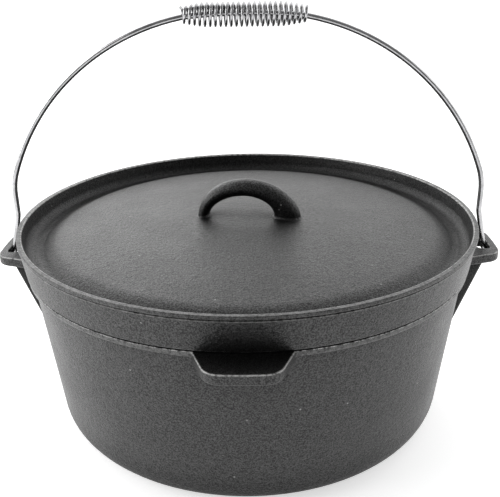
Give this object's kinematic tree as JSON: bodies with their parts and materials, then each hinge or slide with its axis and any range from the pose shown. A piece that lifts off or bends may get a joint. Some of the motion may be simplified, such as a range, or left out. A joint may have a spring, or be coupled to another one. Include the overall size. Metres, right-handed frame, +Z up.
{
  "type": "dutch oven",
  "caption": "Cast iron dutch oven with a flat base, a flanged lid with a loop handle, lugs round the rim and a steel wire bail with a coil grip.",
  "frame": {"origin": "centre of the flat base, on the surface it stands on", "axes": "+Z up along the pot's axis; +X through the bail ears, along the bail's hinge line and the lid's loop handle; +Y to the back, through the assist tabs"},
  "size_m": [0.4708, 0.4638, 0.3795],
  "materials": {
    "cast_iron_pot": "seasoned satin black with a fine cast grain",
    "cast_iron_lid": "seasoned satin black with a fine cast grain",
    "bail_steel": "drawn steel wire, bright",
    "coil_steel": "bright plated spring wire"
  },
  "bodies": {
    "pot": {"pot": "cast_iron_pot"},
    "lid": {"lid": "cast_iron_lid"},
    "bail": {"bail_wire": "bail_steel"},
    "grip": {"coil_grip": "coil_steel"}
  },
  "joints": [
    {"name": "lid_lift", "type": "slide", "parent": "pot", "child": "lid", "axis": [0, 0, 1], "range_m": [0, 0.035]},
    {"name": "bail_swing", "type": "hinge", "parent": "pot", "child": "bail", "pos_m": [0, 0, 0.151], "axis": [1, 0, 0], "range_deg": [-50, 50]},
    {"name": "grip_spin", "type": "hinge", "parent": "bail", "child": "grip", "pos_m": [0, 0, 0.3689], "axis": [1, 0, 0], "continuous": true}
  ]
}
